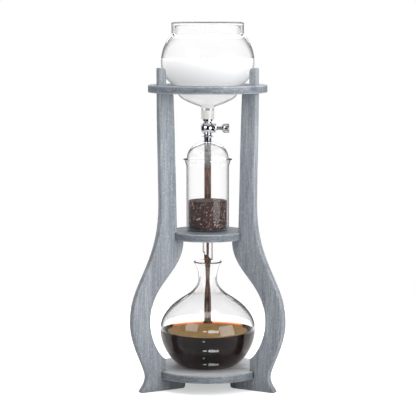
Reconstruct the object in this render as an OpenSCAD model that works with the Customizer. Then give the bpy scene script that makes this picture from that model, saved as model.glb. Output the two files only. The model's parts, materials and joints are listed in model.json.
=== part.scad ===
// Cold drip coffee tower. Three curved plank legs carry three round shelves. A glass water
// globe with a needle drip valve hangs in the top shelf, a glass brew chamber stands on the
// middle shelf, and a round carafe stands on the base shelf. Every shelf height follows from
// the glassware stacked between the shelves. Millimetres, +Z up, feet on z = 0.

/* [Boards] */
// Thickness of every board of the stand
board_t = 9.5; // [8:0.5:11]
// Rounding along the edges of the shelves
shelf_edge_r = 1.2; // [0.4:0.2:2]
// Diameter of the middle shelf
mid_shelf_d = 97; // [94:0.2:104]
// Diameter of the base shelf
base_shelf_d = 136.2; // [130:0.2:142]
// Height of the base shelf's underside over the floor
foot_h = 15.2; // [12:0.2:20]
// Diameter of the dowels that pin the two lower shelves to the legs
dowel_d = 4; // [3:0.5:5]
// Length of those dowels
dowel_len = 16; // [12:1:20]

/* [Posts through the top shelf] */
// Distance of the posts' outer faces from the tower's axis
post_r = 70.6; // [68:0.2:74]
// Width of a post along the radius
post_w = 9.8; // [8:0.2:10.4]
// How far the posts stand up over the top shelf
post_up = 21.7; // [12:0.1:26]
// Rounding of a post's inner top corner
post_corner_r = 5.5; // [3:0.5:7]
// Wood left outside the posts at the top shelf's rim
shelf_rim = 3.9; // [3:0.1:6]
// Width of the shoulder that carries the top shelf
shoulder_w = 10.1; // [7:0.1:11]
// Clearance round each post in its slot
slot_gap = 0.2; // [0.1:0.05:0.4]

/* [Leg outline] */
// Reach of the toe
toe_r = 97.5; // [94:0.5:102]
// Distance of the ankle, the narrow place above the toe
ankle_r = 88.7; // [86:0.1:91]
// Height of the ankle
ankle_z = 19; // [15:0.5:24]
// Outer reach of the leg's belly
belly_r = 109.2; // [104:0.2:114]
// Width of the leg at its belly
belly_w = 24.9; // [20:0.1:27]
// Height of the belly over the base shelf
belly_up = 63.5; // [56:0.5:70]
// Distance of the waist, the outer edge's narrowest place
waist_r = 68.6; // [66:0.1:71]
// Height of the waist over the middle shelf
waist_up = 36; // [28:1:50]
// How far the ledge reaches in under the middle shelf
mid_ledge = 11.6; // [9:0.1:16]
// How far the leg laps over the middle shelf
mid_lap = 2.6; // [2:0.1:6]
// How far the leg laps over the base shelf
base_lap = 5.6; // [3:0.1:6]
// How far the heel reaches in under the base shelf
heel_reach = 33.4; // [20:0.1:38]
// Height of the leg's upright inner edge over the base shelf
shin_h = 15; // [10:0.5:18]
// Rounding of the heel's lower corner
heel_r = 4; // [2:0.5:6]
// Gap between a shelf's edge and the floor of its notch
notch_gap = 0.15; // [0.1:0.05:0.3]

/* [Water globe] */
// Widest diameter of the globe
globe_d = 116.4; // [112:0.2:118]
// Wall of the globe
globe_wall = 2.2; // [1.6:0.1:2.6]
// Height of the globe's widest place over the end of its neck
globe_belly = 70.5; // [67:0.5:74]
// Radius of the curve above the widest place
globe_top_arc = 53.2; // [51:0.2:55]
// Radius of the curve below the widest place
globe_low_arc = 33.8; // [32:0.2:36]
// How far round that curve the globe sits on the shelf, in degrees
globe_seat_angle = 55; // [52:1:58]
// Radius where the flat funnel under the globe begins
funnel_r = 33; // [31:0.5:35]
// Height of that place over the end of the neck
funnel_h = 26.1; // [25:0.1:28]
// Outer diameter of the neck
neck_d = 16.2; // [15:0.2:17.6]
// Length of the neck's straight part
neck_len = 12.8; // [11:0.2:14]
// Outer diameter of the collar round the mouth
collar_d = 82; // [79:0.5:83]
// Height of the collar's rim over the end of the neck
collar_h = 116.3; // [113:0.1:120]
// Height of the water over the end of the neck
water_h = 74.8; // [55:0.2:95]
// Gap between the globe and the edge of the shelf's hole
globe_gap = 0.3; // [0.2:0.05:0.5]

/* [Globe lid] */
// Outer diameter of the glass lid
lid_d = 90; // [89:0.2:92]
// Height of the lid's skirt and top together
lid_h = 14.3; // [11:0.1:14.6]
// Wall of the lid's skirt
lid_wall = 2; // [1.6:0.1:2.2]
// Thickness of the lid's top
lid_top_t = 4; // [3:0.2:5]
// Rounding of the lid's top edge
lid_edge_r = 3; // [1:0.5:3.5]
// Gap between the lid and the rim that it rests on
lid_gap = 0.2; // [0.1:0.05:0.3]

/* [Drip valve] */
// Diameter of the ball-shaped body
ball_d = 17.2; // [16:0.2:18.4]
// Depth of the ball's centre under the end of the globe's neck
ball_drop = 11.3; // [10.8:0.1:12]
// Diameter of the spigots on the ball
spigot_d = 9.4; // [8.6:0.2:9.8]
// Diameter of the flange that presses on the stopper
flange_d = 12.2; // [11:0.2:14]
// Thickness of that flange
flange_t = 2.2; // [1.6:0.1:2.8]
// Diameter of the water way through the valve
flow_d = 3.4; // [2.6:0.2:3.8]
// Outer diameter of the tubes that screw into the body
tube_d = 6; // [5.4:0.2:6.6]
// How deep those tubes screw in
tube_in = 3; // [2:0.2:3.6]
// How far the inlet tube stands up over the stopper
tube_up = 2.5; // [1:0.5:4]
// Length of the stopper in the neck
stopper_len = 11; // [8:0.5:12]
// Diameter of the hole that the needle closes
seat_d = 2.6; // [2:0.1:2.8]
// Distance of the needle's seat behind the valve's axis
seat_back = 1; // [0.6:0.1:1.4]
// Diameter of the spindle
spindle_d = 5; // [4.6:0.1:5.4]
// Running clearance round the spindle and the needle
run_gap = 0.08; // [0.04:0.01:0.1]
// Depth of the packing nut
nut_len = 3.4; // [3:0.1:4]
// Width of the packing nut across its corners
nut_d = 11.4; // [11.2:0.2:12.4]
// Thickness of the O-ring's cord
ring_t = 1; // [0.8:0.1:1.1]
// Diameter of the knob
knob_d = 12; // [11:0.2:14]
// Length of the knob
knob_len = 9; // [7:0.2:11]
// Length of bare spindle between the packing nut and the knob
knob_reach = 7.2; // [5:0.2:9]
// Number of flutes round the knob
flutes = 10; // [8:1:14]
// Length of the nozzle under its drip skirt
nozzle_len = 8.1; // [7:0.1:10]
// Outer diameter of the nozzle
nozzle_d = 9.2; // [8.4:0.2:9.8]
// Diameter of the drip skirt
skirt_d = 14.5; // [12:0.5:16]
// Height of the drip skirt
skirt_h = 2.9; // [2.4:0.1:3.4]

/* [Dome lid] */
// Diameter of the dome lid
dome_d = 52; // [51.4:0.1:52.6]
// Height of the dome lid
dome_h = 25.8; // [22:0.2:30]
// Height of the straight part under the dome
dome_skirt = 5.5; // [3:0.5:7]
// Wall of the dome lid
dome_wall = 1.6; // [1.2:0.1:2]
// Clearance round the nozzle in the dome's hole
nozzle_gap = 0.8; // [0.5:0.1:1.5]
// How far the nozzle dips into the dome
nozzle_dip = 2; // [1:0.2:3]
// Gap between the dome lid and the flared mouth that it sits in
dome_gap = 0.3; // [0.2:0.05:0.4]

/* [Brew chamber] */
// Outer diameter of the chamber
brew_d = 53.2; // [52.6:0.1:53.8]
// Height of the chamber over the middle shelf
brew_h = 90.7; // [82:0.5:100]
// Wall of the chamber
brew_wall = 1.8; // [1.6:0.1:2]
// Diameter across the flared mouth
mouth_d = 57.4; // [57:0.1:58]
// Height of the flare
flare_h = 9; // [8:0.2:10]
// Rounding of the chamber's lower corner
brew_corner = 6; // [5:0.5:8]
// Outer diameter of the stem
stem_d = 12.8; // [12:0.2:14]
// Length of the stem under the middle shelf
stem_len = 28.3; // [22:0.5:36]
// Slant of the cut at the stem's tip, in degrees
stem_cut = 40; // [20:1:50]
// Gap round the stem in the middle shelf
stem_gap = 0.8; // [0.5:0.1:1.5]
// Height of the coffee grounds over the middle shelf
grounds_h = 38.3; // [24:0.5:60]
// Diameter of the filter disc
filter_d = 40; // [36:0.5:42]
// Thickness of the filter disc
filter_t = 1.5; // [1:0.1:2]
// Diameter of the holes in the filter disc
filter_hole_d = 1.8; // [1.4:0.1:2]
// Thickness of the gasket under the filter disc
gasket_t = 2; // [1.5:0.1:2.5]
// Width of the gasket's ring
gasket_w = 3.5; // [3:0.1:5]

/* [Carafe] */
// Widest diameter of the carafe
carafe_d = 120.4; // [116:0.2:122]
// Height of the carafe
carafe_h = 133.7; // [128:0.5:140]
// Wall of the carafe
carafe_wall = 1.8; // [1.4:0.1:2]
// Height of its widest place
carafe_belly = 46.5; // [44:0.5:50]
// Diameter of the flat that it stands on
carafe_foot_d = 56; // [50:1:60]
// Outer diameter at the narrowest place of the neck
carafe_neck_d = 23; // [21:0.2:26]
// Height of that place
carafe_neck_h = 111; // [108:0.5:114]
// Diameter across the rim
carafe_rim_d = 34.8; // [32:0.2:38]
// Height of the coffee over the base shelf
coffee_h = 46.7; // [20:0.5:70]
// Gap between the carafe's rim and the stem's tip
rim_gap = 1.3; // [1:0.1:3]

/* [Hidden] */
$fn = 96;

// Finishes
wood = "#8593a1";
clear_glass = [0.86, 0.92, 0.94, 0.35];
chrome = "#c9ccd1";
silicone = "#e9ebea";

// Directions of the legs round the axis, in degrees
left_leg_angle = 210;
right_leg_angle = 330;
rear_leg_angle = 90;
leg_angles = [left_leg_angle, right_leg_angle, rear_leg_angle];

// Points along each curved stretch of an outline
curve_steps = 14;

// Heights over the floor, from the base shelf up to the globe's lid
base_top = foot_h + board_t;
carafe_top = base_top + carafe_h;
stem_tip = carafe_top + rim_gap;
mid_under = stem_tip + stem_len;
mid_top = mid_under + board_t;
brew_top = mid_top + brew_h;
flare_arc = (pow(mouth_d - brew_d, 2) / 4 + flare_h * flare_h) / (mouth_d - brew_d);
flare_in = flare_arc - brew_wall;
flare_x = mouth_d / 2 - flare_arc;
dome_foot = brew_top - sqrt(flare_in * flare_in - pow(dome_d / 2 + dome_gap - flare_x, 2));
dome_top = dome_foot + dome_h;
nozzle_tip = dome_top - nozzle_dip;
skirt_under = nozzle_tip + nozzle_len;
skirt_top = skirt_under + skirt_h;
ball_z = skirt_top + ball_d / 2 - 0.7;
neck_end = ball_z + ball_drop;
globe_seat_r = globe_d / 2 - globe_low_arc * (1 - cos(globe_seat_angle));
globe_seat_h = globe_belly - globe_low_arc * sin(globe_seat_angle);
top_top = neck_end + globe_seat_h;
top_under = top_top - board_t;
post_top = top_top + post_up;
lid_under = neck_end + collar_h + lid_gap;
lid_top = lid_under + lid_top_t;

// Radii that several pieces share
mid_r = mid_shelf_d / 2;
base_r = base_shelf_d / 2;
post_in = post_r - post_w;
top_shelf_r = post_r + shelf_rim;
globe_hole_r = globe_seat_r + globe_gap;
neck_bore_r = neck_d / 2 - globe_wall;
spindle_r = spindle_d / 2;
side_bore_r = spindle_r + run_gap;
spigot_end = ball_d / 2 - 0.6;
nut_lap = 0.8;
ring_gap = 0.05;
nut_end = spigot_end - nut_lap + nut_len;
knob_start = nut_end + knob_reach;
seat_x = -seat_back;
filter_z = mid_top + brew_wall + gasket_t;

// The box of the whole tower is centred on the origin, so its axis stands off in Y
axis_y = (top_shelf_r - belly_r) / 2;

// ---- curves and outlines ----

// Cubic curve from a to d, leaving towards b and arriving from c, without its first point
function bend(a, b, c, d, n = curve_steps) =
    [for (i = [1 : n]) let (t = i / n, s = 1 - t)
        s * s * s * a + 3 * s * s * t * b + 3 * s * t * t * c + t * t * t * d];

// Arc round centre c from angle a0 to a1
function arc(c, r, a0, a1, n = curve_steps) =
    [for (i = [0 : n]) let (a = a0 + (a1 - a0) * i / n) c + r * [cos(a), sin(a)]];

function unit(v) = v / norm(v);

// Direction of travel along an outline at point i
function heading(p, i) = unit(p[min(i + 1, len(p) - 1)] - p[max(i - 1, 0)]);

// The same outline moved to its left by t, which is the inner face of a wall
function inner_face(p, t) =
    [for (i = [0 : len(p) - 1]) let (h = heading(p, i)) p[i] + t * [-h[1], h[0]]];

function reversed(p) = [for (i = [len(p) - 1 : -1 : 0]) p[i]];

// Half round that closes a wall of thickness t at the outline's last point
function round_rim(p, t) =
    let (last = p[len(p) - 1], h = heading(p, len(p) - 1), left = [-h[1], h[0]],
         middle = last + left * t / 2)
    [for (a = [22.5 : 22.5 : 157.5]) middle - left * t / 2 * cos(a) + h * t / 2 * sin(a)];

// A blown glass wall of one thickness, turned from its outer outline
module blown(outline, wall) {
    rotate_extrude()
        polygon(concat(outline, round_rim(outline, wall), reversed(inner_face(outline, wall))));
}

// The space inside such a wall up to a level
module filling(outline, wall, level) {
    intersection() {
        rotate_extrude()
            polygon(concat(inner_face(outline, wall), [[0, outline[len(outline) - 1][1]],
                                                       [0, outline[0][1]]]));
        cylinder(r = 2 * globe_d, h = level);
    }
}

// Puts a piece on the tower's axis
module on_axis(z = 0) {
    translate([0, axis_y, z])
        children();
}

// Turns a piece drawn along +Z so that it lies along +X at the height of the needle
module along_x(x = 0) {
    on_axis(ball_z)
        translate([x, 0, 0])
            rotate([0, 90, 0])
                children();
}

// ---- wooden stand ----

// Round shelf with softened edges, its underside at z = 0
module disc(r, hole_r) {
    e = shelf_edge_r;
    rotate_extrude()
        polygon(concat(arc([r - e, e], e, -90, 0, 4), arc([r - e, board_t - e], e, 0, 90, 4),
                       arc([hole_r + e, board_t - e], e, 90, 180, 4),
                       arc([hole_r + e, e], e, 180, 270, 4)));
}

// Outer edge of a leg, from the toe up to the post
function leg_outer() =
    let (belly_z = base_top + belly_up, waist_z = mid_top + waist_up,
         rise = waist_z - belly_z, drop = belly_z - ankle_z)
    concat([[toe_r - 1.5, 0], [toe_r, 1]],
           bend([toe_r, 1], [toe_r - 3.5, 6.5], [ankle_r, ankle_z - 8], [ankle_r, ankle_z], 8),
           bend([ankle_r, ankle_z], [ankle_r, ankle_z + 0.17 * drop],
                [belly_r, belly_z - 0.42 * drop], [belly_r, belly_z]),
           bend([belly_r, belly_z], [belly_r, belly_z + 0.36 * rise],
                [waist_r, waist_z - 0.53 * rise], [waist_r, waist_z], 20),
           bend([waist_r, waist_z], [waist_r, waist_z + 40], [post_r, top_under - 60],
                [post_r, top_under], 6));

// Inner edge of a leg, from the post down to the heel, with the notches of both shelves
function leg_inner() =
    let (belly_z = base_top + belly_up, belly_in = belly_r - belly_w,
         shin_r = base_r - base_lap, ledge_r = mid_r - mid_ledge, over_r = mid_r - mid_lap,
         rise = mid_under - belly_z, drop = belly_z - base_top - shin_h,
         notch_mid = mid_r + notch_gap, notch_base = base_r + notch_gap,
         heel_in = base_r - heel_reach)
    concat(arc([post_in + post_corner_r, post_top - post_corner_r], post_corner_r, 90, 180, 8),
           [[post_in, top_under], [post_in - shoulder_w, top_under]],
           bend([post_in - shoulder_w, top_under], [post_in - shoulder_w - 2.5, top_under - 55],
                [over_r + 2, mid_top + 60], [over_r, mid_top], 10),
           [[notch_mid, mid_top], [notch_mid, mid_under], [ledge_r, mid_under]],
           bend([ledge_r, mid_under], [ledge_r, mid_under - 0.42 * rise],
                [belly_in, belly_z + 0.5 * rise], [belly_in, belly_z], 20),
           bend([belly_in, belly_z], [belly_in, belly_z - 0.45 * drop],
                [shin_r + 9, base_top + shin_h + 5], [shin_r, base_top + shin_h]),
           [[shin_r, base_top], [notch_base, base_top], [notch_base, foot_h],
            [heel_in, foot_h]],
           arc([heel_in + heel_r, heel_r], heel_r, 180, 270, 8));

// Dowel positions: radius of the shelf's edge and height of the board's middle
dowel_seats = [[mid_r, mid_under + board_t / 2], [base_r, foot_h + board_t / 2]];

// Both dowels of one leg, or the holes for them
module leg_dowels(angle, gap = 0) {
    rotate(angle)
        for (seat = dowel_seats)
            translate([seat[0] - dowel_len / 2, 0, seat[1]])
                rotate([0, 90, 0])
                    cylinder(d = dowel_d + gap, h = dowel_len, $fn = 48);
}

module all_dowels(gap = 0) {
    for (angle = leg_angles)
        leg_dowels(angle, gap);
}

module leg(angle) {
    color(wood)
        on_axis()
            difference() {
                rotate(angle)
                    rotate([90, 0, 0])
                        linear_extrude(board_t, center = true)
                            polygon(concat(leg_outer(), [[post_r, post_top - 1],
                                                         [post_r - 1, post_top]],
                                           leg_inner()));
                leg_dowels(angle);
            }
}

module leg_left() {
    leg(left_leg_angle);
}

module leg_right() {
    leg(right_leg_angle);
}

module leg_rear() {
    leg(rear_leg_angle);
}

module top_shelf() {
    slot_w = board_t + 2 * slot_gap;
    slot_len = post_w + 2 * slot_gap;
    color(wood)
        on_axis(top_under)
            difference() {
                disc(top_shelf_r, globe_hole_r);
                for (angle = leg_angles)
                    rotate(angle)
                        translate([post_in - slot_gap, -slot_w / 2, -1])
                            cube([slot_len, slot_w, board_t + 2]);
            }
}

module middle_shelf() {
    color(wood)
        on_axis()
            difference() {
                translate([0, 0, mid_under])
                    disc(mid_r, stem_d / 2 + stem_gap);
                all_dowels();
            }
}

module base_shelf() {
    e = shelf_edge_r;
    color(wood)
        on_axis()
            difference() {
                translate([0, 0, foot_h])
                    rotate_extrude()
                        polygon(concat([[0, 0]], arc([base_r - e, e], e, -90, 0, 4),
                                       arc([base_r - e, board_t - e], e, 0, 90, 4),
                                       [[0, board_t]]));
                all_dowels();
            }
}

module shelf_dowels() {
    color("#b99a6b")
        on_axis()
            all_dowels();
}

// ---- water globe ----

// Outer outline of the globe, from the end of the neck up to the rim of the mouth
function globe_outline() =
    let (r = globe_d / 2, neck_r = neck_d / 2, collar_r = collar_d / 2,
         seat = [globe_seat_r, globe_seat_h], funnel = [funnel_r, funnel_h],
         shoulder_angle = 37,
         shoulder = [r - globe_top_arc * (1 - cos(shoulder_angle)),
                     globe_belly + globe_top_arc * sin(shoulder_angle)],
         throat = [neck_r + 3, neck_len + 3.6])
    concat([[neck_r, 0]],
           bend([neck_r, neck_len], [neck_r, neck_len + 2.2], throat - [1.9, 0.7], throat, 6),
           bend(throat, throat + [6.6, 2.2], funnel - [7.6, 4.8], funnel, 8),
           bend(funnel, funnel + [5.1, 3.2], seat - [4.9, 3.4], seat, 10),
           [for (i = [1 : 12]) [r - globe_low_arc, globe_belly]
               + globe_low_arc * [cos(globe_seat_angle * (i / 12 - 1)),
                                  sin(globe_seat_angle * (i / 12 - 1))]],
           [for (i = [1 : 12]) [r - globe_top_arc, globe_belly]
               + globe_top_arc * [cos(shoulder_angle * i / 12), sin(shoulder_angle * i / 12)]],
           bend(shoulder, shoulder + [-2, 2.7], [collar_r + 0.2, shoulder[1] + 2.4],
                [collar_r, shoulder[1] + 6.5], 8),
           [[collar_r, collar_h - globe_wall / 2]]);

module water_globe() {
    color(clear_glass)
        on_axis(neck_end)
            blown(globe_outline(), globe_wall);
}

module water() {
    color([0.9, 0.93, 0.94, 0.6])
        on_axis(neck_end)
            difference() {
                filling(globe_outline(), globe_wall, water_h);
                cylinder(r = neck_bore_r + 1, h = stopper_len);
                cylinder(d = tube_d, h = stopper_len + tube_up);
            }
}

module globe_lid() {
    r = lid_d / 2;
    bore = r - lid_wall;
    e = lid_edge_r;
    color(clear_glass)
        on_axis(lid_top - lid_h)
            rotate_extrude()
                polygon(concat([[bore, 0], [r, 0]], arc([r - e, lid_h - e], e, 0, 90, 8),
                               [[0, lid_h], [0, lid_h - lid_top_t]],
                               arc([bore - 1, lid_h - lid_top_t - 1], 1, 90, 0, 4)));
}

module neck_stopper() {
    color(silicone)
        on_axis(neck_end)
            difference() {
                cylinder(r = neck_bore_r, h = stopper_len);
                translate([0, 0, -1])
                    cylinder(d = tube_d, h = stopper_len + 2);
            }
}

// ---- drip valve ----

module inlet_tube() {
    color(chrome)
        on_axis(neck_end - flange_t)
            difference() {
                union() {
                    cylinder(d = flange_d, h = flange_t);
                    translate([0, 0, -tube_in])
                        cylinder(d = tube_d, h = tube_in + flange_t + stopper_len + tube_up);
                }
                translate([0, 0, -tube_in - 1])
                    cylinder(d = flow_d, h = tube_in + flange_t + stopper_len + tube_up + 2);
            }
}

// Ball with spigots above and at the side, faced off flat with the side one. Water comes down
// behind the axis, crosses the seat from behind and leaves under the needle's tip
module valve_body() {
    r = ball_d / 2;
    flange_under = ball_drop - flange_t;
    foot = skirt_top - ball_z;
    neck_angle = acos(spigot_d / 2 / r);
    feed_x = seat_x - 1.9;
    feed_r = 0.8;
    plenum = 0.8;
    color(chrome)
        on_axis(ball_z)
            difference() {
                union() {
                    rotate_extrude()
                        polygon(concat([[0, foot], [spigot_d / 2, foot]],
                                       arc([0, 0], r, -neck_angle, neck_angle, 24),
                                       [[spigot_d / 2, flange_under], [0, flange_under]]));
                    translate([r / 2, 0, 0])
                        rotate([0, 90, 0])
                            cylinder(d = spigot_d, h = spigot_end - r / 2);
                }
                translate([spigot_end, 0, 0])
                    rotate([0, 90, 0])
                        cylinder(d = spigot_d, h = r);
                translate([0, 0, flange_under - tube_in - plenum])
                    cylinder(d = tube_d, h = tube_in + plenum + 1);
                translate([feed_x, 0, -feed_r])
                    cylinder(r = feed_r, h = flange_under - tube_in);
                translate([feed_x - 0.5, 0, 0])
                    rotate([0, 90, 0])
                        cylinder(d = seat_d, h = seat_x - feed_x + 1);
                translate([seat_x, 0, 0])
                    rotate([0, 90, 0])
                        cylinder(r = side_bore_r, h = spigot_end - seat_x + 1);
                translate([0, 0, foot - 1])
                    cylinder(d = flow_d, h = 1 - foot);
                translate([0, 0, foot - 1])
                    cylinder(d = tube_d, h = tube_in + 1);
            }
}

module packing_nut() {
    color(chrome)
        along_x(nut_end - nut_len)
            difference() {
                intersection() {
                    cylinder(d = nut_d, h = nut_len, $fn = 6);
                    cylinder(r1 = nut_d / 2 + 2, r2 = nut_d / 2 - 0.5, h = nut_len);
                }
                translate([0, 0, -1])
                    cylinder(d = spigot_d, h = 1 + nut_lap);
                cylinder(r = side_bore_r + ring_t + ring_gap, h = nut_lap + ring_t + 2 * ring_gap);
                translate([0, 0, -1])
                    cylinder(r = side_bore_r, h = nut_len + 2);
            }
}

module spindle_o_ring() {
    color("#2b2b2b")
        along_x(spigot_end + ring_gap + ring_t / 2)
            rotate_extrude()
                translate([side_bore_r + ring_t / 2, 0])
                    circle(d = ring_t, $fn = 32);
}

// Shank, taper and the short pin on which the needle swivels in the spindle's end
needle_tip_r = 0.4;
needle_slope = 0.5;
needle_gap = 0.1;
needle_seat_r = seat_d / 2 - needle_gap;
needle_tip_x = seat_x - (needle_seat_r - needle_tip_r) / needle_slope;
needle_shank_x = needle_tip_x + (spindle_r - needle_tip_r) / needle_slope;
needle_back_x = needle_shank_x + 2;
swivel_r = 1.2;
swivel_len = 1.6;

module needle() {
    color("#b9bcc2")
        along_x()
            rotate_extrude()
                polygon([[0, needle_tip_x], [needle_tip_r, needle_tip_x],
                         [spindle_r, needle_shank_x], [spindle_r, needle_back_x],
                         [swivel_r, needle_back_x], [swivel_r, needle_back_x + swivel_len],
                         [0, needle_back_x + swivel_len]]);
}

module spindle() {
    start = needle_back_x + 0.1;
    color(chrome)
        along_x()
            difference() {
                translate([0, 0, start])
                    cylinder(d = spindle_d, h = knob_start + knob_len - 1 - start);
                translate([0, 0, start - 1])
                    cylinder(r = swivel_r + run_gap, h = swivel_len + 1.1);
            }
}

module adjusting_knob() {
    r = knob_d / 2;
    flute_r = 1.1;
    color(chrome)
        along_x(knob_start)
            difference() {
                rotate_extrude()
                    polygon([[0, 0], [r * 0.55, 0], [r, 2.4], [r, knob_len - 0.6],
                             [r - 0.6, knob_len], [0, knob_len]]);
                translate([0, 0, -1])
                    cylinder(d = spindle_d, h = knob_len);
                for (i = [0 : flutes - 1])
                    rotate(360 / flutes * i)
                        translate([r + 0.35, 0, -1])
                            cylinder(r = flute_r, h = knob_len + 2, $fn = 24);
            }
}

// Tube with a flared skirt that keeps drips off the dome lid, screwed up into the ball
module drip_nozzle() {
    r = nozzle_d / 2;
    color(chrome)
        on_axis(nozzle_tip)
            rotate_extrude()
                polygon(concat([[flow_d / 2, 0]], arc([r - 1, 1], 1, -90, 0, 4),
                               [[r, nozzle_len], [skirt_d / 2, nozzle_len],
                                [skirt_d / 2, nozzle_len + 0.7],
                                [spigot_d / 2, nozzle_len + skirt_h],
                                [tube_d / 2, nozzle_len + skirt_h],
                                [tube_d / 2, nozzle_len + skirt_h + tube_in],
                                [flow_d / 2, nozzle_len + skirt_h + tube_in]]));
}

// ---- brewer ----

// Dome lid, from its foot up to the hole for the nozzle
function dome_outline() =
    let (r = dome_d / 2, hole_r = nozzle_d / 2 + nozzle_gap + dome_wall / 2,
         end_angle = acos(hole_r / r))
    concat([[r, 0]],
           [for (i = [0 : 20]) let (a = end_angle * i / 20)
               [r * cos(a), dome_skirt + (dome_h - dome_skirt) * sin(a) / sin(end_angle)]]);

module dome_lid() {
    color(clear_glass)
        on_axis(dome_foot)
            blown(dome_outline(), dome_wall);
}

// Outer outline of the chamber, from the stem's end up to the flared mouth
function brew_outline() =
    let (r = brew_d / 2, stem_r = stem_d / 2, c = brew_corner,
         stem_end = -board_t - stem_len, start = brew_h - flare_h)
    concat([[stem_r, stem_end], [stem_r, -1.5]],
           bend([stem_r, -1.5], [stem_r, -0.6], [stem_r + 0.6, 0], [stem_r + 1.5, 0], 4),
           [[r - c - 0.4, 0], [r - c, 0]],
           bend([r - c, 0], [r - 0.45 * c, 0], [r, 0.45 * c], [r, c], 8),
           [[r, start - 1]],
           [for (i = [0 : 10]) let (h = flare_h * (1 - i / 10))
               [flare_x + sqrt(flare_arc * flare_arc - h * h), brew_h - h]]);

module brew_chamber() {
    color(clear_glass)
        on_axis(mid_top)
            difference() {
                blown(brew_outline(), brew_wall);
                translate([0, 0, -board_t - stem_len])
                    rotate([0, stem_cut, 0])
                        translate([-stem_d, -stem_d, -2 * stem_d + stem_d / 2 * sin(stem_cut)])
                            cube(2 * stem_d);
            }
}

module filter_gasket() {
    color(silicone)
        on_axis(filter_z - gasket_t)
            difference() {
                cylinder(d = filter_d, h = gasket_t);
                translate([0, 0, -1])
                    cylinder(d = filter_d - 2 * gasket_w, h = gasket_t + 2);
            }
}

module filter_disc() {
    rings = [[0, 1], [0.26, 6], [0.52, 12], [0.78, 18]];
    color("#aeb2b7")
        on_axis(filter_z)
            difference() {
                cylinder(d = filter_d, h = filter_t);
                for (ring = rings)
                    for (i = [0 : ring[1] - 1])
                        rotate(360 / ring[1] * i)
                            translate([ring[0] * filter_d / 2, 0, -1])
                                cylinder(d = filter_hole_d, h = filter_t + 2, $fn = 24);
            }
}

module coffee_grounds() {
    r = brew_d / 2 - brew_wall;
    c = brew_corner - brew_wall;
    color("#3a241b")
        on_axis(mid_top + brew_wall)
            difference() {
                rotate_extrude()
                    polygon(concat([[0, 0]],
                                   bend([r - c, 0], [r - 0.45 * c, 0], [r, 0.45 * c], [r, c], 8),
                                   [[r, grounds_h - brew_wall], [0, grounds_h - brew_wall]]));
                translate([0, 0, -1])
                    cylinder(d = filter_d, h = gasket_t + filter_t + 1);
            }
}

// ---- carafe ----

// Outer outline of the carafe, from the middle of its foot up to the rim
function carafe_outline() =
    let (r = carafe_d / 2, foot = carafe_foot_d / 2, neck = carafe_neck_d / 2,
         rim = [carafe_rim_d / 2, carafe_h - 0.85 * carafe_wall],
         slope = [-0.848, 0.53], shoulder = [28, carafe_neck_h - 21.5])
    concat([[0, 0], [foot, 0]],
           bend([foot, 0], [foot + 15, 0], [r, carafe_belly - 21.5], [r, carafe_belly]),
           bend([r, carafe_belly], [r, carafe_belly + 22], shoulder - 14 * slope, shoulder),
           bend(shoulder, shoulder + 9 * slope, [neck, carafe_neck_h - 9],
                [neck, carafe_neck_h], 10),
           bend([neck, carafe_neck_h], [neck, carafe_neck_h + 9], rim - [3.9, 4], rim, 10));

module carafe() {
    color(clear_glass)
        on_axis(base_top)
            blown(carafe_outline(), carafe_wall);
}

module brewed_coffee() {
    color("#1d0d07")
        on_axis(base_top)
            filling(carafe_outline(), carafe_wall, coffee_h);
}

leg_left();
leg_right();
leg_rear();
top_shelf();
middle_shelf();
base_shelf();
shelf_dowels();
water_globe();
water();
globe_lid();
neck_stopper();
inlet_tube();
valve_body();
packing_nut();
spindle_o_ring();
needle();
spindle();
adjusting_knob();
drip_nozzle();
dome_lid();
brew_chamber();
filter_gasket();
filter_disc();
coffee_grounds();
carafe();
brewed_coffee();
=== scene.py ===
# %% [markdown]
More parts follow.
